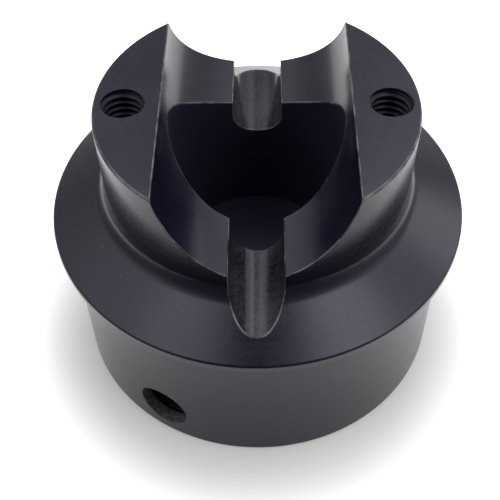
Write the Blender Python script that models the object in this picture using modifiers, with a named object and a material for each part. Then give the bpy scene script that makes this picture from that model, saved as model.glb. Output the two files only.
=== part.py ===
"""Tube-saddle head from a sailboat winch and rail fitting set.

A turned and milled hub carries a round tube in a saddle between two tapped ears. Below the saddle it
has a blind bore, and its flanged skirt drops over a post, where three radial set screws lock it.

Metres, +Z up, origin at the centre of the bottom face. X runs across the two ears, Y along the
saddle and the groove under it.
"""

import math

import bmesh
import bpy
from mathutils import Vector

MM = 0.001
STEPS = 80
SMALL_STEPS = 32
MERGE = 0.00001

# The turned outline of the hub.
HEIGHT = 42.2 * MM
EAR_RADIUS = 21.25 * MM
WAIST_RADIUS = 21.15 * MM
WAIST_Z = HEIGHT - 9.5 * MM
NECK_FILLET = 2.9 * MM
CONE_TOP_RADIUS = 22.45 * MM
CONE_TOP_Z = HEIGHT - 13.75 * MM
FLANGE_RADIUS = 29.1 * MM
FLANGE_Z = HEIGHT - 17.2 * MM
RIM_HEIGHT = 1.3 * MM
SKIRT_RADIUS = 27.1 * MM
EDGE_BREAK = 0.25 * MM

# The saddle for the tube, the groove below it and the blind bore in the middle.
TUBE_RADIUS = 12.7 * MM
TUBE_AXIS_Z = HEIGHT + 2.45 * MM
GROOVE_HALF_WIDTH = 3.5 * MM
GROOVE_CORNER = 3.35 * MM
GROOVE_FLOOR_Z = HEIGHT - 15.6 * MM
BORE_RADIUS = 11.7 * MM

# The post socket inside the skirt, and the web between it and the bore.
SOCKET_RADIUS = 16.1 * MM
SOCKET_DEPTH = 10.0 * MM
SOCKET_CHAMFER = 0.8 * MM
WEB_THICKNESS = 2.2 * MM

# The tapped holes for the clamp cap, one in each ear.
EAR_HOLE_X = 17.37 * MM
EAR_THREAD_RADIUS = 3.0 * MM
EAR_HOLE_DEPTH = 14.0 * MM
EAR_CHAMFER = 0.1 * MM

# The radial set screws: the first lies under the ear on +X.
SET_SCREWS = {"set_screw_right": 0, "set_screw_rear_left": 120, "set_screw_front_left": 240}
SCREW_HOLE_RADIUS = 3.8 * MM
SCREW_Z = 5.7 * MM
SCREW_LENGTH = 8.0 * MM
SCREW_RECESS = 2.1 * MM
SCREW_CHAMFER = 0.7 * MM
HEX_ACROSS_FLATS = 4.0 * MM
HEX_DEPTH = 3.5 * MM
CLEARANCE = 0.3 * MM

# Cutters reach this far past the face that they open.
OVERCUT = 3.0 * MM


def clear_scene():
    for obj in list(bpy.data.objects):
        bpy.data.objects.remove(obj, do_unlink=True)


def new_collection(name, hidden=False):
    collection = bpy.data.collections.new(name)
    collection.hide_render = hidden
    bpy.context.scene.collection.children.link(collection)
    return collection


def finish(name, colour, roughness, metallic):
    made = bpy.data.materials.new(name)
    made.use_nodes = True
    shader = made.node_tree.nodes["Principled BSDF"]
    shader.inputs["Base Color"].default_value = (*colour, 1.0)
    shader.inputs["Roughness"].default_value = roughness
    shader.inputs["Metallic"].default_value = metallic
    return made


def add_object(name, mesh, collection):
    obj = bpy.data.objects.new(name, mesh)
    collection.objects.link(obj)
    return obj


def turned(name, outline, steps, collection):
    """Turns an outline of (radius, z) points, which starts and ends on the axis, about Z."""
    edges = [(i, i + 1) for i in range(len(outline) - 1)]
    mesh = bpy.data.meshes.new(name)
    mesh.from_pydata([(radius, 0.0, z) for radius, z in outline], edges, [])
    obj = add_object(name, mesh, collection)
    screw = obj.modifiers.new("turn", "SCREW")
    screw.steps = steps
    screw.render_steps = steps
    screw.use_merge_vertices = True
    screw.merge_threshold = MERGE
    screw.use_smooth_shade = True
    return obj


def prism(name, radius, length, sides, collection):
    """A round or hexagonal bar about Z, centred on the origin."""
    mesh = bpy.data.meshes.new(name)
    shape = bmesh.new()
    bmesh.ops.create_cone(
        shape, cap_ends=True, segments=sides, radius1=radius, radius2=radius, depth=length
    )
    shape.to_mesh(mesh)
    shape.free()
    return add_object(name, mesh, collection)


def as_cutter(obj):
    obj.hide_render = True
    obj.display_type = "WIRE"
    return obj


def cut(target, cutter):
    boolean = target.modifiers.new(cutter.name, "BOOLEAN")
    boolean.operation = "DIFFERENCE"
    boolean.solver = "EXACT"
    boolean.object = as_cutter(cutter)


def baked(obj, name):
    """The mesh that an object's modifiers make. The object goes."""
    graph = bpy.context.evaluated_depsgraph_get()
    mesh = bpy.data.meshes.new_from_object(obj.evaluated_get(graph))
    mesh.name = name
    bpy.data.objects.remove(obj, do_unlink=True)
    return mesh


def neck_points(count=5):
    """The neck, which hollows gently from the ears down to its waist."""
    top = HEIGHT - EDGE_BREAK
    shares = [1 - i / (count - 1) for i in range(count)]
    return [
        (WAIST_RADIUS + (EAR_RADIUS - WAIST_RADIUS) * s * s, WAIST_Z + (top - WAIST_Z) * s)
        for s in shares
    ]


def neck_fillet_points(count=6):
    """The hollow arc from the waist into the cone, tangent to both."""
    slope = math.atan2(CONE_TOP_Z - FLANGE_Z, FLANGE_RADIUS - CONE_TOP_RADIUS)
    sweep = math.pi / 2 - slope
    meet_z = CONE_TOP_Z + (CONE_TOP_RADIUS - WAIST_RADIUS) * math.tan(slope)
    centre_r = WAIST_RADIUS + NECK_FILLET
    centre_z = meet_z + NECK_FILLET * math.tan(sweep / 2)
    turns = [math.pi + sweep * i / (count - 1) for i in range(count)]
    return [
        (centre_r + NECK_FILLET * math.cos(t), centre_z + NECK_FILLET * math.sin(t)) for t in turns
    ]


def hub_outline():
    """From the bore's floor up over the ear, down the outside and in to the post socket's end."""
    rim_z = FLANGE_Z - RIM_HEIGHT
    bore_floor_z = SOCKET_DEPTH + WEB_THICKNESS
    return [
        (0.0, bore_floor_z),
        (BORE_RADIUS, bore_floor_z),
        (BORE_RADIUS, HEIGHT),
        (EAR_RADIUS - EDGE_BREAK, HEIGHT),
        *neck_points(),
        *neck_fillet_points(),
        (FLANGE_RADIUS - EDGE_BREAK, FLANGE_Z),
        (FLANGE_RADIUS, FLANGE_Z - EDGE_BREAK),
        (FLANGE_RADIUS, rim_z + EDGE_BREAK),
        (FLANGE_RADIUS - EDGE_BREAK, rim_z),
        (SKIRT_RADIUS, rim_z),
        (SKIRT_RADIUS, EDGE_BREAK),
        (SKIRT_RADIUS - EDGE_BREAK, 0.0),
        (SOCKET_RADIUS + SOCKET_CHAMFER, 0.0),
        (SOCKET_RADIUS, SOCKET_CHAMFER),
        (SOCKET_RADIUS, SOCKET_DEPTH),
        (0.0, SOCKET_DEPTH),
    ]


def groove_outline(count=9):
    """The groove's section: straight sides, large round corners and a narrow flat floor."""
    centre_x = GROOVE_CORNER - GROOVE_HALF_WIDTH
    centre_z = GROOVE_FLOOR_Z + GROOVE_CORNER
    turns = [math.pi / 2 * i / (count - 1) for i in range(count)]
    left = [
        (centre_x - GROOVE_CORNER * math.cos(t), centre_z - GROOVE_CORNER * math.sin(t))
        for t in turns
    ]
    right = [(-x, z) for x, z in reversed(left)]
    return [*left, *right, (GROOVE_HALF_WIDTH, TUBE_AXIS_Z), (-GROOVE_HALF_WIDTH, TUBE_AXIS_Z)]


def ear_hole_outline():
    """A tapped hole's cutter: a chamfered mouth, the bore and a drill point."""
    mouth = EAR_THREAD_RADIUS + EAR_CHAMFER
    return [
        (0.0, HEIGHT + OVERCUT),
        (mouth, HEIGHT + OVERCUT),
        (mouth, HEIGHT),
        (EAR_THREAD_RADIUS, HEIGHT - EAR_CHAMFER),
        (EAR_THREAD_RADIUS, HEIGHT - EAR_HOLE_DEPTH),
        (0.0, HEIGHT - EAR_HOLE_DEPTH - EAR_THREAD_RADIUS * math.tan(math.radians(31))),
    ]


def set_screw_outline():
    """A grub screw about Z, its driven end up, small enough to clear the hub's hole."""
    radius = SCREW_HOLE_RADIUS - CLEARANCE
    half = SCREW_LENGTH / 2
    return [
        (0.0, half),
        (radius - SCREW_CHAMFER, half),
        (radius, half - SCREW_CHAMFER),
        (radius, SCREW_CHAMFER - half),
        (radius - SCREW_CHAMFER, -half),
        (0.0, -half),
    ]


def outward(angle):
    return Vector((math.cos(math.radians(angle)), math.sin(math.radians(angle)), 0.0))


def lay_along(obj, direction):
    obj.rotation_mode = "QUATERNION"
    obj.rotation_quaternion = direction.to_track_quat("Z", "Y")


def make_saddle_cutters(hub, cutters):
    """The tube's trough, and the groove under it, both right along Y."""
    length = 2 * FLANGE_RADIUS + 2 * OVERCUT
    tube = prism("tube_cutter", TUBE_RADIUS, length, STEPS, cutters)
    tube.location = (0.0, 0.0, TUBE_AXIS_Z)
    lay_along(tube, Vector((0.0, 1.0, 0.0)))
    cut(hub, tube)

    mesh = bpy.data.meshes.new("groove_cutter")
    shape = bmesh.new()
    corners = [shape.verts.new((x, -length / 2, z)) for x, z in groove_outline()]
    face = shape.faces.new(corners)
    grown = bmesh.ops.extrude_face_region(shape, geom=[face])["geom"]
    moved = [item for item in grown if isinstance(item, bmesh.types.BMVert)]
    bmesh.ops.translate(shape, verts=moved, vec=(0.0, length, 0.0))
    bmesh.ops.recalc_face_normals(shape, faces=shape.faces)
    shape.to_mesh(mesh)
    shape.free()
    cut(hub, add_object("groove_cutter", mesh, cutters))


def make_ear_cutters(hub, cutters):
    for side, name in ((-1, "left"), (1, "right")):
        hole = turned(f"{name}_ear_hole_cutter", ear_hole_outline(), SMALL_STEPS, cutters)
        hole.location.x = side * EAR_HOLE_X
        cut(hub, hole)


def make_screw_hole_cutters(hub, cutters):
    length = SKIRT_RADIUS - SOCKET_RADIUS + 2 * OVERCUT
    middle = (SKIRT_RADIUS + SOCKET_RADIUS) / 2
    for name, angle in SET_SCREWS.items():
        hole = prism(f"{name}_cutter", SCREW_HOLE_RADIUS, length, SMALL_STEPS, cutters)
        hole.location = outward(angle) * middle + Vector((0.0, 0.0, SCREW_Z))
        lay_along(hole, outward(angle))
        cut(hub, hole)


def make_hub(parts, cutters):
    hub = turned("saddle_hub", hub_outline(), STEPS, parts)
    hub.data.materials.append(
        finish("black_anodised_aluminium", (0.018, 0.017, 0.022), 0.32, metallic=0.0)
    )
    make_saddle_cutters(hub, cutters)
    make_ear_cutters(hub, cutters)
    make_screw_hole_cutters(hub, cutters)
    return hub


def make_set_screws(hub, parts, cutters):
    blank = turned("set_screw_blank", set_screw_outline(), SMALL_STEPS, cutters)
    corner = HEX_ACROSS_FLATS / 2 / math.cos(math.pi / 6)
    socket = prism("hex_cutter", corner, 2 * HEX_DEPTH, 6, cutters)
    socket.location.z = SCREW_LENGTH / 2
    cut(blank, socket)
    bpy.context.view_layer.update()
    mesh = baked(blank, "set_screw")
    mesh.materials.clear()
    mesh.materials.append(finish("black_oxide_steel", (0.03, 0.03, 0.034), 0.42, metallic=1.0))
    seat = SKIRT_RADIUS - SCREW_RECESS - SCREW_LENGTH / 2
    for name, angle in SET_SCREWS.items():
        screw = add_object(name, mesh, parts)
        screw.location = outward(angle) * seat + Vector((0.0, 0.0, SCREW_Z))
        lay_along(screw, outward(angle))
        screw.parent = hub


def main():
    clear_scene()
    parts = new_collection("tube_saddle_head")
    cutters = new_collection("cutters", hidden=True)
    hub = make_hub(parts, cutters)
    make_set_screws(hub, parts, cutters)


main()
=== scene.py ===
"""Looks for the tube-saddle head: a black anodised hub and its three set screws, with real threads.

The hub and the screws are finer versions of the CAD solids, in the same places. Metres, +Z up, X
across the ears, Y along the saddle.
"""

import math

import bmesh
import bpy
from mathutils import Matrix, Vector


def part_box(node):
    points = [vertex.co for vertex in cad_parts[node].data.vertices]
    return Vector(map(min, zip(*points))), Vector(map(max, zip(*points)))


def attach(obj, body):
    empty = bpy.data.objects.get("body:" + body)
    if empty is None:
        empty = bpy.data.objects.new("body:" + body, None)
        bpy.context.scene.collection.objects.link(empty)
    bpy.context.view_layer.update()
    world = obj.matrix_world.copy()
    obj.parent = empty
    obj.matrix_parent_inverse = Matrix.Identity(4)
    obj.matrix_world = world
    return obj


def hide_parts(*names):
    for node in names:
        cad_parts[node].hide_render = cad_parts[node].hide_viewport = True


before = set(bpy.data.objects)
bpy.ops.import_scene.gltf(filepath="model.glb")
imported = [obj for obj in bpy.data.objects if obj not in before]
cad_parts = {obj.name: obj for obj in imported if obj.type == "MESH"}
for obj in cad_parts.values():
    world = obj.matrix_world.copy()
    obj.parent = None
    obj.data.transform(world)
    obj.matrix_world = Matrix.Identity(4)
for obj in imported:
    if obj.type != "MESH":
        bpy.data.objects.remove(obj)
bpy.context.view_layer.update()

HUB_LOW, HUB_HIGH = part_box("saddle_hub")
MM = 0.001

# The turned outline of the hub, as in the CAD.
HEIGHT = HUB_HIGH.z
EAR_RADIUS = 21.25 * MM
WAIST_RADIUS = 21.15 * MM
WAIST_Z = HEIGHT - 9.5 * MM
NECK_FILLET = 2.9 * MM
CONE_TOP_RADIUS = 22.45 * MM
CONE_TOP_Z = HEIGHT - 13.75 * MM
FLANGE_RADIUS = HUB_HIGH.x
FLANGE_Z = HEIGHT - 17.2 * MM
RIM_HEIGHT = 1.3 * MM
SKIRT_RADIUS = 27.1 * MM
EAR_EDGE = 0.38 * MM
FLANGE_EDGE = 0.45 * MM
RIM_EDGE = 0.3 * MM
SKIRT_EDGE = 0.3 * MM
RIM_CORNER = 0.25 * MM

TUBE_RADIUS = 12.7 * MM
TUBE_AXIS_Z = HEIGHT + 2.45 * MM
GROOVE_HALF_WIDTH = 3.5 * MM
GROOVE_CORNER = 3.35 * MM
GROOVE_FLOOR_Z = HEIGHT - 15.6 * MM
BORE_RADIUS = 11.7 * MM
SOCKET_RADIUS = 16.1 * MM
SOCKET_DEPTH = 10.0 * MM
SOCKET_CHAMFER = 0.8 * MM
WEB_THICKNESS = 2.2 * MM

# M6 x 1 in the ears.
EAR_HOLE_X = 17.37 * MM
EAR_THREAD = {"outer": 3.0 * MM, "inner": 2.5 * MM, "pitch": 1.0 * MM}
EAR_THREAD_DEPTH = 12.05 * MM
EAR_HOLE_DEPTH = 14.0 * MM
DRILL_POINT_SLOPE = math.radians(31)
EAR_MOUTH_RADIUS = 2.8 * MM
EAR_MOUTH_DEPTH = 0.5 * MM

# M8 x 1.25 in the skirt, behind a plain mouth. A plain passage through the first turns opens the mouth
# into the thread. The screws' crests clear the holes' crests, so that a screw can slide.
SCREW_ANGLES = {"set_screw_right": 0, "set_screw_rear_left": 120, "set_screw_front_left": 240}
SCREW_BODIES = {
    "set_screw_right": "right_screw",
    "set_screw_rear_left": "rear_left_screw",
    "set_screw_front_left": "front_left_screw",
}
SCREW_Z = 5.7 * MM
SCREW_LENGTH = 8.0 * MM
SCREW_RECESS = 2.1 * MM
SCREW_CHAMFER = 0.7 * MM
SCREW_MOUTH_RADIUS = 3.77 * MM
SCREW_MOUTH_DEPTH = 1.7 * MM
SCREW_PASSAGE_RADIUS = 3.54 * MM
SCREW_PASSAGE_TURNS = 3
SKIRT_THREAD = {"outer": 4.0 * MM, "inner": 3.56 * MM, "pitch": 1.25 * MM}
SCREW_THREAD = {"outer": 3.5 * MM, "inner": 2.95 * MM, "pitch": 1.25 * MM}
HEX_ACROSS_FLATS = 4.0 * MM
HEX_DEPTH = 3.5 * MM

# The broken edge that milling leaves, and how far a cutter reaches past what it cuts.
MILLED_EDGE = 0.15 * MM
OVERCUT = 3.0 * MM

# Fineness of the meshes. Points closer than MERGE or SLIVER become one, and a corner over SHARP is an
# edge. LEVEL is the upward part of a normal that still counts as a flat top. The ear holes are turned
# by OFF_SEAM, so that their columns of points miss the hub's.
HUB_STEPS = 256
TUBE_SIDES = 192
THREAD_STEPS = 56
EDGE_SEGMENTS = 3
MERGE = 0.01 * MM
SLIVER = 0.012 * MM
SHARP = math.radians(20)
LEVEL = 0.98
OFF_SEAM = math.radians(1.7)

# Material slots of the hub, in order.
TURNED, MILLED, ROUGH, EDGE, THREAD, DRILLED, BORED = range(7)

# Colours of the finishes, and the dust on them. A pair is the darkest and the palest shade.
ANODISED_DYES = (0.0048, 0.0040, 0.0105), (0.0090, 0.0078, 0.0150)
GROOVE_DYES = (0.0052, 0.0046, 0.0100), (0.031, 0.029, 0.034)
# The drilled mouths are paler than the rest: partly a paler cut surface, partly painted light inside the
# holes.
DRILLED_DYES_AND_PAINTED_LIGHT = (0.010, 0.009, 0.013), (0.085, 0.080, 0.090)
# The bore's black is paler than the rest: painted light inside the recess.
BORE_DYES_AND_PAINTED_LIGHT = (0.013, 0.011, 0.023), (0.018, 0.0155, 0.030)
# The pale grey of the broken edges: partly real wear, partly a painted highlight.
WORN_EDGE_AND_HIGHLIGHT = (0.125, 0.125, 0.130)
DUST = (0.30, 0.29, 0.27)
DUST_PER_MM = 0.35
DUST_RARITY = 0.72
DUST_RADIUS = 0.05
ANODISED_SHEEN = (0.92, 0.87, 1.0)
ANODISED_IOR = 1.38
DULL_IOR = 1.25
OXIDE_BLACKS = (0.004, 0.004, 0.005), (0.011, 0.010, 0.010)
OXIDE_SHEEN = (0.35, 0.34, 0.36)

WHITE = (1.0, 1.0, 1.0)

# The floor is a white sheet that reaches further back than forward. It glows with painted light that grows
# away from the object, which leaves a painted shadow round the object's base.
FLOOR_RADIUS = 140 * MM
FLOOR_SHIFT = 80 * MM
FLOOR_COLOUR = (0.65, 0.65, 0.65)
FLOOR_GLOW = (0.0, 0.76)
FLOOR_GLOW_RADII = (24.5, 43.5)
FLOOR_GLOW_CENTRE = (-0.5, -5.0)

# The light tent: how bright it is at each height and on each side. Its bands blend between these
# elevations, in degrees.
BAND_BLENDS = ((10, 46), (46, 60), (68, 84))
TENT = {
    "low": {"front": 0.05, "right": 0.75, "back": 0.38, "left": 0.5},
    "mid": {"front": 0.02, "right": 2.05, "back": 1.55, "left": 1.9},
    "high": {"front": 0.05, "right": 2.9, "back": 2.4, "left": 2.35},
    "top": {"front": 1.0, "right": 1.2, "back": 1.2, "left": 1.1},
}

# Lamps behind the tent, and dim gaps between them: (azimuth from the front, elevation), how far each is
# even and where it ends, in degrees, and what it adds.
LAMPS = {
    "front_left": ((-52, 60), (4, 20), 1.5),
    "front_right": ((60, 56), (4, 20), 2.4),
    "right_low": ((118, 23), (4, 18), 1.8),
    "back_right": ((162, 53), (3, 11), 1.8),
    "back_left": ((198, 52), (3, 11), 0.9),
    "low_gap": ((186, 37), (3, 18), -0.7),
    "high_gap": ((181, 55), (2, 11), -1.1),
}
BACKDROP_STRENGTH = 1.0

# The camera looks at the middle of the ear tops, then swings off it to frame the object.
CAMERA_DISTANCE = 118.7 * MM
CAMERA_ELEVATION = math.radians(41.11)
CAMERA_AZIMUTH = math.radians(0.61)
CAMERA_PAN = math.radians(0.496)
CAMERA_TILT = math.radians(-9.20)
CAMERA_ROLL = math.radians(-0.657)
CAMERA_LENS = 65.46


# ---------------------------------------------------------------- mesh tools


def add_object(name, mesh):
    obj = bpy.data.objects.new(name, mesh)
    bpy.context.scene.collection.objects.link(obj)
    return obj


def from_bmesh(name, shape, finish=0):
    bmesh.ops.recalc_face_normals(shape, faces=shape.faces)
    for face in shape.faces:
        face.material_index = finish
    mesh = bpy.data.meshes.new(name)
    shape.to_mesh(mesh)
    shape.free()
    return add_object(name, mesh)


def turned(name, outline, steps, finish=0):
    """Turns an outline of (radius, z) points, which starts and ends on the axis, about Z."""
    edges = [(i, i + 1) for i in range(len(outline) - 1)]
    mesh = bpy.data.meshes.new(name)
    mesh.from_pydata([(radius, 0.0, z) for radius, z in outline], edges, [])
    obj = add_object(name, mesh)
    screw = obj.modifiers.new("turn", "SCREW")
    screw.steps = steps
    screw.render_steps = steps
    screw.use_merge_vertices = True
    screw.merge_threshold = MERGE
    apply_modifiers(obj)
    for face in obj.data.polygons:
        face.material_index = finish
    return obj


def bar(name, outline, length, finish):
    """A straight bar along Y, with a closed outline of (x, z) points, in the middle of the part."""
    shape = bmesh.new()
    face = shape.faces.new([shape.verts.new((x, -length / 2, z)) for x, z in outline])
    grown = bmesh.ops.extrude_face_region(shape, geom=[face])["geom"]
    moved = [item for item in grown if isinstance(item, bmesh.types.BMVert)]
    bmesh.ops.translate(shape, verts=moved, vec=(0.0, length, 0.0))
    return from_bmesh(name, shape, finish)


def threaded_bar(name, thread, low, high, finish=0):
    """A bar about Z whose surface is a right-hand thread, from four points a pitch on each of its columns."""
    pitch, outer, inner = thread["pitch"], thread["outer"], thread["inner"]
    crest, root = pitch / 8, pitch / 4
    flank = (pitch - crest - root) / 2
    offsets = [(0.0, outer), (crest, outer), (crest + flank, inner), (pitch - flank, inner)]
    per_turn = len(offsets)
    turns = math.ceil((high - low) / pitch)
    shape = bmesh.new()
    columns = []
    for i in range(THREAD_STEPS):
        angle = math.tau * i / THREAD_STEPS
        rise = pitch * i / THREAD_STEPS
        columns.append([
            shape.verts.new((r * math.cos(angle), r * math.sin(angle), low + rise + turn * pitch + dz))
            for turn in range(turns)
            for dz, r in offsets
        ])
    # The last column meets the first one a turn higher, so each end's ring takes in that step.
    rows = len(columns[0])
    for i, column in enumerate(columns):
        last = i == THREAD_STEPS - 1
        following = columns[0][per_turn:] if last else columns[i + 1]
        for row in range(len(following) - 1):
            shape.faces.new((column[row], following[row], following[row + 1], column[row + 1]))
    foot = [column[0] for column in columns] + columns[0][per_turn:0:-1]
    head = [column[-1] for column in columns[:-1]] + columns[-1][:rows - per_turn - 2:-1]
    for ring, height in ((foot, low - pitch), (head, high + 2 * pitch)):
        centre = shape.verts.new((0.0, 0.0, height))
        for i, corner in enumerate(ring):
            shape.faces.new((corner, ring[(i + 1) % len(ring)], centre))
    return from_bmesh(name, shape, finish)


def apply_modifiers(obj):
    graph = bpy.context.evaluated_depsgraph_get()
    mesh = bpy.data.meshes.new_from_object(obj.evaluated_get(graph))
    old = obj.data
    obj.modifiers.clear()
    obj.data = mesh
    bpy.data.meshes.remove(old)


def carve(obj, cutter, operation="DIFFERENCE"):
    boolean = obj.modifiers.new(cutter.name, "BOOLEAN")
    boolean.operation = operation
    boolean.solver = "EXACT"
    boolean.object = cutter
    apply_modifiers(obj)
    bpy.data.objects.remove(cutter, do_unlink=True)


def outward(angle):
    return Vector((math.cos(math.radians(angle)), math.sin(math.radians(angle)), 0.0))


def aim(obj, direction, location):
    """Turns an object's Z to a direction and puts its origin at a place, in the mesh itself."""
    turn = direction.to_track_quat("Z", "Y").to_matrix().to_4x4()
    obj.data.transform(Matrix.Translation(location) @ turn)


def arc(centre, radius, start, end, count):
    """Points of (across, z) on an arc, between two angles in degrees."""
    steps = [math.radians(start + (end - start) * i / (count - 1)) for i in range(count)]
    return [(centre[0] + radius * math.cos(t), centre[1] + radius * math.sin(t)) for t in steps]


def set_normals(obj):
    """Smooth shading across gentle corners. A broken edge takes its sides' normals, so flats stay flat."""
    shape = bmesh.new()
    shape.from_mesh(obj.data)
    shape.normal_update()
    areas = {face: face.calc_area() for face in shape.faces}
    limit = math.cos(SHARP)
    normals = []
    for face in shape.faces:
        face.smooth = True
        for loop in face.loops:
            around = loop.vert.link_faces
            if face.material_index == EDGE:
                near = [g for g in around if g.material_index != EDGE] or list(around)
            else:
                alike = [g for g in around if g.material_index == face.material_index]
                near = [g for g in alike if g.normal.dot(face.normal) > limit]
            total = Vector()
            for other in near:
                total += other.normal * areas[other]
            normals.append(total.normalized() if total.length > 0 else face.normal.copy())
    shape.to_mesh(obj.data)
    shape.free()
    obj.data.normals_split_custom_set([tuple(normal) for normal in normals])


def break_edges(obj):
    """Rounds every sharp edge of the saddle and the groove, after clearing what slivers the cuts left."""
    shape = bmesh.new()
    shape.from_mesh(obj.data)
    bmesh.ops.remove_doubles(shape, verts=shape.verts, dist=SLIVER)
    bmesh.ops.dissolve_degenerate(shape, edges=shape.edges, dist=SLIVER)
    loose = [edge for edge in shape.edges if not edge.link_faces]
    bmesh.ops.delete(shape, geom=loose, context="EDGES")
    shape.normal_update()
    sharp = []
    for edge in shape.edges:
        cut = any(face.material_index in (MILLED, ROUGH) for face in edge.link_faces)
        if cut and len(edge.link_faces) == 2 and edge.calc_face_angle(0.0) > SHARP:
            sharp.append(edge)
    # The rounds take the edge finish, pale with wear and with a painted highlight.
    bmesh.ops.bevel(
        shape,
        geom=sharp,
        offset=MILLED_EDGE,
        offset_type="OFFSET",
        segments=EDGE_SEGMENTS,
        profile=0.5,
        affect="EDGES",
        clamp_overlap=False,
        loop_slide=False,
        material=EDGE,
    )
    shape.to_mesh(obj.data)
    shape.free()


# ---------------------------------------------------------------- the hub


def neck_points(count=12):
    """The neck, which hollows gently from the ears down to its waist."""
    top = HEIGHT - EAR_EDGE
    shares = [1 - i / (count - 1) for i in range(count)]
    return [
        (WAIST_RADIUS + (EAR_RADIUS - WAIST_RADIUS) * s * s, WAIST_Z + (top - WAIST_Z) * s)
        for s in shares
    ]


def neck_fillet_points(count=14):
    """The hollow arc from the waist into the cone, tangent to both."""
    slope = math.atan2(CONE_TOP_Z - FLANGE_Z, FLANGE_RADIUS - CONE_TOP_RADIUS)
    sweep = math.pi / 2 - slope
    meet_z = CONE_TOP_Z + (CONE_TOP_RADIUS - WAIST_RADIUS) * math.tan(slope)
    centre = (WAIST_RADIUS + NECK_FILLET, meet_z + NECK_FILLET * math.tan(sweep / 2))
    return arc(centre, NECK_FILLET, 180, 180 + math.degrees(sweep), count)


def hub_outline():
    """From the bore's floor up over the ear, down the outside and in to the post socket's end."""
    rim_z = FLANGE_Z - RIM_HEIGHT
    bore_floor_z = SOCKET_DEPTH + WEB_THICKNESS
    return [
        (0.0, bore_floor_z),
        (BORE_RADIUS, bore_floor_z),
        (BORE_RADIUS, HEIGHT),
        *arc((EAR_RADIUS - EAR_EDGE, HEIGHT - EAR_EDGE), EAR_EDGE, 90, 15, 5),
        *neck_points(),
        *neck_fillet_points(),
        *arc((FLANGE_RADIUS - FLANGE_EDGE, FLANGE_Z - FLANGE_EDGE), FLANGE_EDGE, 60, 0, 7),
        *arc((FLANGE_RADIUS - RIM_EDGE, rim_z + RIM_EDGE), RIM_EDGE, 0, -75, 6),
        *arc((SKIRT_RADIUS + RIM_CORNER, rim_z - RIM_CORNER), RIM_CORNER, 90, 180, 6),
        *arc((SKIRT_RADIUS - SKIRT_EDGE, SKIRT_EDGE), SKIRT_EDGE, 0, -90, 6),
        (SOCKET_RADIUS + SOCKET_CHAMFER, 0.0),
        (SOCKET_RADIUS, SOCKET_CHAMFER),
        (SOCKET_RADIUS, SOCKET_DEPTH),
        (0.0, SOCKET_DEPTH),
    ]


def groove_outline(count=24):
    """The groove's section: straight sides, large round corners and a narrow flat floor."""
    centre = (GROOVE_CORNER - GROOVE_HALF_WIDTH, GROOVE_FLOOR_Z + GROOVE_CORNER)
    left = arc(centre, GROOVE_CORNER, 180, 270, count)
    right = [(-x, z) for x, z in reversed(left)]
    return [*left, *right, (GROOVE_HALF_WIDTH, TUBE_AXIS_Z), (-GROOVE_HALF_WIDTH, TUBE_AXIS_Z)]


def cut_saddle(hub):
    length = 2 * FLANGE_RADIUS + 2 * OVERCUT
    sweep = [math.tau * i / TUBE_SIDES for i in range(TUBE_SIDES)]
    tube = [(TUBE_RADIUS * math.cos(t), TUBE_AXIS_Z + TUBE_RADIUS * math.sin(t)) for t in sweep]
    carve(hub, bar("tube_cutter", tube, length, MILLED))
    carve(hub, bar("groove_cutter", groove_outline(), length, ROUGH))


def put_in_both_ears(cutter):
    """Puts a cutter about Z in both ears at once."""
    shape = bmesh.new()
    for side in (-1, 1):
        place = Matrix.Translation((side * EAR_HOLE_X, 0.0, 0.0)) @ Matrix.Rotation(OFF_SEAM, 4, "Z")
        copy = cutter.data.copy()
        copy.transform(place)
        shape.from_mesh(copy)
        bpy.data.meshes.remove(copy)
    shape.to_mesh(cutter.data)
    shape.free()


def cut_ear_holes(hub):
    mouth_end = HEIGHT - EAR_MOUTH_DEPTH
    point = EAR_THREAD["inner"] * math.tan(DRILL_POINT_SLOPE)
    drill = turned(
        "drill_cutter",
        [
            (0.0, HEIGHT + OVERCUT),
            (EAR_MOUTH_RADIUS, HEIGHT + OVERCUT),
            (EAR_MOUTH_RADIUS, mouth_end),
            (EAR_THREAD["inner"], mouth_end - (EAR_MOUTH_RADIUS - EAR_THREAD["inner"])),
            (EAR_THREAD["inner"], HEIGHT - EAR_HOLE_DEPTH),
            (0.0, HEIGHT - EAR_HOLE_DEPTH - point),
        ],
        THREAD_STEPS,
        THREAD,
    )
    tap = threaded_bar(
        "tap_cutter", EAR_THREAD, HEIGHT - EAR_THREAD_DEPTH, HEIGHT + EAR_THREAD["pitch"], THREAD
    )
    for cutter in (drill, tap):
        put_in_both_ears(cutter)
        carve(hub, cutter)


def cut_screw_holes(hub):
    for angle in SCREW_ANGLES.values():
        direction = outward(angle)
        height = Vector((0.0, 0.0, SCREW_Z))
        passage_end = -SCREW_MOUTH_DEPTH - SCREW_PASSAGE_TURNS * SKIRT_THREAD["pitch"]
        # The mouths take the paler drilled black: partly the cut, partly painted light in the holes.
        mouth = turned(
            "mouth_cutter",
            [
                (0.0, OVERCUT),
                (SCREW_MOUTH_RADIUS, OVERCUT),
                (SCREW_MOUTH_RADIUS, -SCREW_MOUTH_DEPTH),
                (SCREW_PASSAGE_RADIUS, -SCREW_MOUTH_DEPTH),
                (SCREW_PASSAGE_RADIUS, passage_end),
                (0.0, passage_end),
            ],
            THREAD_STEPS,
            DRILLED,
        )
        aim(mouth, direction, direction * SKIRT_RADIUS + height)
        carve(hub, mouth)
        tap = threaded_bar(
            "tap_cutter",
            SKIRT_THREAD,
            SOCKET_RADIUS - 2 * OVERCUT,
            SKIRT_RADIUS - SCREW_MOUTH_DEPTH - SKIRT_THREAD["pitch"],
            THREAD,
        )
        aim(tap, direction, height)
        carve(hub, tap)


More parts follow.
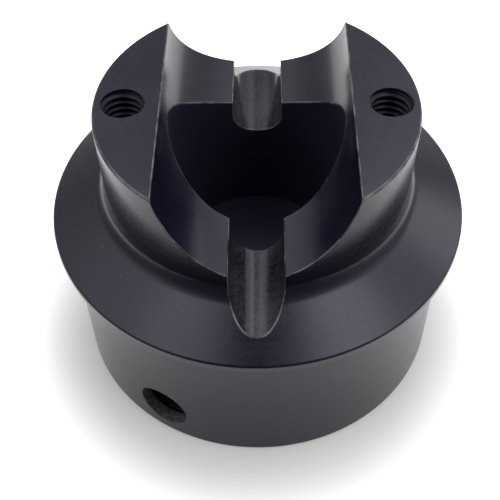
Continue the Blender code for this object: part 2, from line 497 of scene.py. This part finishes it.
def make_hub(finishes):
    hub = turned("saddle_hub_fine", hub_outline(), HUB_STEPS)
    for finish in finishes:
        hub.data.materials.append(finish)
    for face in hub.data.polygons:
        # The ear's rounded rim takes the edge finish, pale with wear and with a painted highlight.
        on_rim = face.center.z > HEIGHT - EAR_EDGE and face.center.xy.length > EAR_RADIUS - EAR_EDGE
        if on_rim and abs(face.normal.z) < LEVEL:
            face.material_index = EDGE
        # The bore's walls take a paler black, painted light in the recess.
        if face.center.xy.length < BORE_RADIUS and face.center.z > SOCKET_DEPTH + WEB_THICKNESS / 2:
            face.material_index = BORED
    # The saddle is cut from the plain turned shape, and the fine threads come last, so that each cut
    # starts from a closed mesh.
    cut_saddle(hub)
    cut_screw_holes(hub)
    cut_ear_holes(hub)
    break_edges(hub)
    set_normals(hub)
    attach(hub, "hub")
    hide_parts("saddle_hub")


# ---------------------------------------------------------------- the set screws


def make_set_screw(name, finish):
    """A set screw about Z, its driven end up, laid in its hole."""
    half = SCREW_LENGTH / 2
    end_radius = SCREW_THREAD["outer"] - SCREW_CHAMFER
    past_thread = SCREW_CHAMFER + MM
    screw = threaded_bar(name + "_fine", SCREW_THREAD, -half - OVERCUT, half + OVERCUT)
    blank = turned(
        "blank",
        [
            (0.0, half),
            (end_radius, half),
            (end_radius + past_thread, half - past_thread),
            (end_radius + past_thread, past_thread - half),
            (end_radius, -half),
            (0.0, -half),
        ],
        THREAD_STEPS,
    )
    carve(screw, blank, "INTERSECT")
    hex_radius = HEX_ACROSS_FLATS / math.sqrt(3)
    socket = bmesh.new()
    bmesh.ops.create_cone(
        socket,
        cap_ends=True,
        segments=6,
        radius1=hex_radius,
        radius2=hex_radius,
        depth=2 * HEX_DEPTH,
        matrix=Matrix.Translation((0.0, 0.0, half)),
    )
    carve(screw, from_bmesh("hex_cutter", socket))
    screw.data.materials.clear()
    screw.data.materials.append(finish)
    direction = outward(SCREW_ANGLES[name])
    middle = SKIRT_RADIUS - SCREW_RECESS - half
    aim(screw, direction, direction * middle + Vector((0.0, 0.0, SCREW_Z)))
    set_normals(screw)
    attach(screw, SCREW_BODIES[name])
    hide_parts(name)


# ---------------------------------------------------------------- finishes


class Graph:
    """Adds nodes to a material or a world. A value is a number, a colour or another node's socket."""

    def __init__(self, tree):
        self.tree = tree

    def add(self, kind, inputs=None, **settings):
        node = self.tree.nodes.new(kind)
        for key, value in settings.items():
            setattr(node, key, value)
        for key, value in (inputs or {}).items():
            self.feed(node.inputs[key], value)
        return node

    def feed(self, socket, value):
        if isinstance(value, bpy.types.NodeSocket):
            self.tree.links.new(value, socket)
        else:
            socket.default_value = value

    def maths(self, operation, *values):
        node = self.add("ShaderNodeMath", operation=operation)
        for socket, value in zip(node.inputs, values):
            self.feed(socket, value)
        return node.outputs[0]

    def total(self, *values):
        """The sum of (value, share) pairs."""
        amount = 0.0
        for value, share in values:
            amount = self.maths("MULTIPLY_ADD", value, share, amount)
        return amount

    def length(self, x, y):
        """How long the flat vector (x, y) is."""
        return self.maths("SQRT", self.maths("MULTIPLY_ADD", x, x, self.maths("MULTIPLY", y, y)))

    def ramp(self, value, low, high, start=0.0, end=1.0):
        """Takes low..high to start..end with soft ends, and stays within them."""
        inputs = {"Value": value, "From Min": low, "From Max": high, "To Min": start, "To Max": end}
        node = self.add("ShaderNodeMapRange", inputs, interpolation_type="SMOOTHSTEP")
        return node.outputs["Result"]

    def mix(self, share, first, second):
        node = self.add("ShaderNodeMix", {0: share, 6: first, 7: second}, data_type="RGBA")
        return node.outputs[2]

    def place(self):
        """The point on the part, in millimetres."""
        point = self.add("ShaderNodeTexCoord").outputs["Object"]
        node = self.add("ShaderNodeVectorMath", {0: point, 3: 1 / MM}, operation="SCALE")
        return node.outputs[0]

    def split(self, vector):
        return self.add("ShaderNodeSeparateXYZ", {0: vector}).outputs

    def noise(self, place, scale, detail=2.0):
        inputs = {"Vector": place, "Scale": scale, "Detail": detail}
        return self.add("ShaderNodeTexNoise", inputs).outputs[0]

    def lines(self, across, scale, detail=3.0):
        """Tool marks: a value that changes only in the direction that is given, about -0.5 to 0.5."""
        inputs = {"W": across, "Scale": scale, "Detail": detail}
        node = self.add("ShaderNodeTexNoise", inputs, noise_dimensions="1D")
        return self.maths("SUBTRACT", node.outputs[0], 0.5)


def opaque(shade):
    """The four numbers that a colour socket takes."""
    return (*shade, 1.0)


def new_finish(name):
    made = bpy.data.materials.new(name)
    made.use_nodes = True
    return made, Graph(made.node_tree), made.node_tree.nodes["Principled BSDF"]


def round_axis(graph, place):
    """Marks that run round the axis: the distance along the profile, near enough."""
    x, y, z = graph.split(place)
    return graph.maths("SUBTRACT", graph.length(x, y), z)


def along_saddle(graph, place):
    """Marks that run round the saddle's tube, as a boring head leaves them."""
    return graph.split(place)[1]


def along_groove(graph, place):
    """Marks that run along Y, as an end mill leaves them."""
    return graph.split(place)[0]


def anodised(
    name,
    marks,
    mark_depth,
    grain_depth,
    roughness,
    mottling=0.10,
    bare_and_lit=None,
    dyes=ANODISED_DYES,
    ior=ANODISED_IOR,
):
    """Black anodised aluminium. Depths are in millimetres. A range of noise, where one is given, turns the
    colour pale in patches: real wear on the edges, and a painted highlight along them too.
    """
    made, graph, shader = new_finish(name)
    place = graph.place()
    across = marks(graph, place)
    blotches = graph.maths("SUBTRACT", graph.noise(place, 0.11, 3.0), 0.5)
    mottle = graph.maths("SUBTRACT", graph.noise(place, 2.3, 3.0), 0.5)
    grain = graph.noise(place, 14.0, 2.0)
    fine = graph.lines(across, 7.0)
    broad = graph.lines(across, 0.9, 2.0)

    dye = graph.ramp(graph.total((blotches, 1.0), (mottle, 3.0 * mottling), (broad, 0.4)), -0.3, 0.3)
    colour = graph.mix(dye, *map(opaque, dyes))
    # Pale patches: partly wear, partly a painted highlight on the edges.
    if bare_and_lit:
        wear_and_highlight = graph.ramp(graph.noise(place, 0.45, 4.0), *bare_and_lit)
        colour = graph.mix(wear_and_highlight, colour, opaque(WORN_EDGE_AND_HIGHLIGHT))
    cells = graph.add("ShaderNodeTexVoronoi", {"Vector": place, "Scale": DUST_PER_MM})
    chosen = graph.maths("GREATER_THAN", graph.split(cells.outputs["Color"])[0], DUST_RARITY)
    speck = graph.maths("LESS_THAN", cells.outputs["Distance"], DUST_RADIUS * DUST_PER_MM)
    dust = graph.maths("MULTIPLY", chosen, speck)
    graph.feed(shader.inputs["Base Color"], graph.mix(dust, colour, opaque(DUST)))

    rough = graph.total((blotches, 0.16), (mottle, mottling), (broad, 0.08), (dust, 0.4))
    graph.feed(shader.inputs["Roughness"], graph.maths("ADD", rough, roughness))
    shader.inputs["IOR"].default_value = ior
    shader.inputs["Specular Tint"].default_value = opaque(ANODISED_SHEEN)
    height = graph.total((fine, mark_depth), (grain, grain_depth), (mottle, 0.05 * mottling), (dust, 0.01))
    bump = graph.add("ShaderNodeBump", {"Height": height, "Distance": MM})
    graph.feed(shader.inputs["Normal"], bump.outputs[0])
    return made


def black_oxide(name):
    """Oiled black oxide on steel: nearly black, with browner and greyer patches."""
    made, graph, shader = new_finish(name)
    place = graph.place()
    patches = graph.noise(place, 0.7, 4.0)
    grain = graph.noise(place, 11.0, 3.0)
    tone = graph.ramp(patches, 0.35, 0.65)
    graph.feed(shader.inputs["Base Color"], graph.mix(tone, *map(opaque, OXIDE_BLACKS)))
    rough = graph.total((patches, 0.22), (grain, 0.12))
    graph.feed(shader.inputs["Roughness"], graph.maths("ADD", rough, 0.38))
    shader.inputs["Metallic"].default_value = 1.0
    shader.inputs["Specular Tint"].default_value = opaque(OXIDE_SHEEN)
    height = graph.total((grain, 0.003), (patches, 0.004))
    bump = graph.add("ShaderNodeBump", {"Height": height, "Distance": MM})
    graph.feed(shader.inputs["Normal"], bump.outputs[0])
    return made


def hub_finishes():
    """In the order of the hub's slots. The numbers are the marks' depth, the grain's and the roughness."""
    return [
        anodised("anodised_turned", round_axis, 0.0012, 0.0012, 0.22, mottling=0.14),
        anodised("anodised_milled", along_saddle, 0.0012, 0.0012, 0.21, mottling=0.14),
        anodised("anodised_groove", along_groove, 0.0020, 0.0020, 0.21, mottling=0.25, dyes=GROOVE_DYES),
        # The edge finish: pale patches of wear that also paint a highlight along the edges.
        anodised("anodised_edge", along_saddle, 0.0, 0.0020, 0.26, bare_and_lit=(0.28, 0.78)),
        anodised("anodised_thread", round_axis, 0.0, 0.0020, 0.36, ior=DULL_IOR),
        # The drilled finish's pale tone is partly the cut, partly painted light in the holes.
        anodised("anodised_drilled_painted_light", along_groove, 0.0, 0.0060, 0.46, mottling=0.3, dyes=DRILLED_DYES_AND_PAINTED_LIGHT),
        # The bore's paler black is painted light.
        anodised("anodised_bore_painted_light", round_axis, 0.0, 0.0020, 0.40, dyes=BORE_DYES_AND_PAINTED_LIGHT, ior=DULL_IOR),
    ]


# ---------------------------------------------------------------- floor, light and camera


def make_stage():
    shape = bmesh.new()
    bmesh.ops.create_circle(shape, cap_ends=True, segments=HUB_STEPS, radius=FLOOR_RADIUS)
    bmesh.ops.translate(shape, verts=shape.verts, vec=(0.0, FLOOR_SHIFT, 0.0))
    floor = from_bmesh("floor", shape)
    floor.location.z = HUB_LOW.z
    made, graph, shader = new_finish("pale_floor")
    shader.inputs["Base Color"].default_value = opaque(FLOOR_COLOUR)
    shader.inputs["Roughness"].default_value = 0.6
    # The floor glows, a painted light that is none near the object and so leaves a painted shadow round its
    # base.
    shader.inputs["Emission Color"].default_value = opaque(WHITE)
    x, y, _ = graph.split(graph.place())
    x, y = (graph.maths("SUBTRACT", part, middle) for part, middle in zip((x, y), FLOOR_GLOW_CENTRE))
    glow = graph.ramp(graph.length(x, y), *FLOOR_GLOW_RADII, *FLOOR_GLOW)
    graph.feed(shader.inputs["Emission Strength"], glow)
    floor.data.materials.append(made)


def make_world():
    """A light tent. Its brightness goes by height, in four bands, and by side."""
    world = bpy.data.worlds.new("studio")
    bpy.context.scene.world = world
    world.use_nodes = True
    graph = Graph(world.node_tree)
    direction = graph.add("ShaderNodeTexCoord").outputs["Generated"]
    x, y, z = graph.split(direction)
    flat = graph.length(x, y)
    sides = {}
    for name, part, sign in (("front", y, -1.0), ("right", x, 1.0), ("back", y, 1.0), ("left", x, -1.0)):
        facing = graph.maths("MAXIMUM", graph.maths("MULTIPLY", graph.maths("DIVIDE", part, flat), sign), 0.0)
        sides[name] = graph.maths("MULTIPLY", facing, facing)
    rise = graph.maths("MULTIPLY", graph.maths("ARCSINE", z), math.degrees(1.0))
    above = [graph.ramp(rise, low, high) for low, high in BAND_BLENDS]
    shares = [graph.maths("SUBTRACT", a, b) for a, b in zip([1.0, *above], [*above, 0.0])]
    light = 0.0
    for share, strengths in zip(shares, TENT.values()):
        band = graph.total(*[(sides[side], strength) for side, strength in strengths.items()])
        light = graph.maths("MULTIPLY_ADD", band, share, light)
    for (azimuth, elevation), (even, end), strength in LAMPS.values():
        toward = outward(azimuth - 90) * math.cos(math.radians(elevation))
        toward.z = math.sin(math.radians(elevation))
        aligned = graph.add("ShaderNodeVectorMath", {0: direction, 1: toward}, operation="DOT_PRODUCT")
        limits = math.cos(math.radians(end)), math.cos(math.radians(even))
        share = graph.ramp(aligned.outputs["Value"], *limits)
        light = graph.maths("MULTIPLY_ADD", share, strength, light)
    seen = graph.add("ShaderNodeLightPath").outputs["Is Camera Ray"]
    strength = graph.add("ShaderNodeMix", {0: seen, 2: light, 3: BACKDROP_STRENGTH})
    background = world.node_tree.nodes["Background"]
    background.inputs["Color"].default_value = opaque(WHITE)
    graph.feed(background.inputs["Strength"], strength.outputs[0])


def make_camera():
    target = Vector((0.0, 0.0, HEIGHT))
    back = Vector((
        math.sin(CAMERA_AZIMUTH) * math.cos(CAMERA_ELEVATION),
        -math.cos(CAMERA_AZIMUTH) * math.cos(CAMERA_ELEVATION),
        math.sin(CAMERA_ELEVATION),
    ))
    data = bpy.data.cameras.new("camera")
    data.lens = CAMERA_LENS
    camera = bpy.data.objects.new("camera", data)
    bpy.context.scene.collection.objects.link(camera)
    look = back.to_track_quat("Z", "Y").to_matrix()
    pan = Matrix.Rotation(CAMERA_PAN, 3, "Y")
    tilt = Matrix.Rotation(CAMERA_TILT, 3, "X")
    roll = Matrix.Rotation(CAMERA_ROLL, 3, "Z")
    turn = look @ pan @ tilt @ roll
    camera.matrix_world = Matrix.Translation(target + back * CAMERA_DISTANCE) @ turn.to_4x4()
    bpy.context.scene.camera = camera
    bpy.context.scene.view_settings.view_transform = "Standard"


def main():
    make_camera()
    make_world()
    make_stage()
    make_hub(hub_finishes())
    steel = black_oxide("black_oxide_steel")
    for name in SCREW_ANGLES:
        make_set_screw(name, steel)


main()
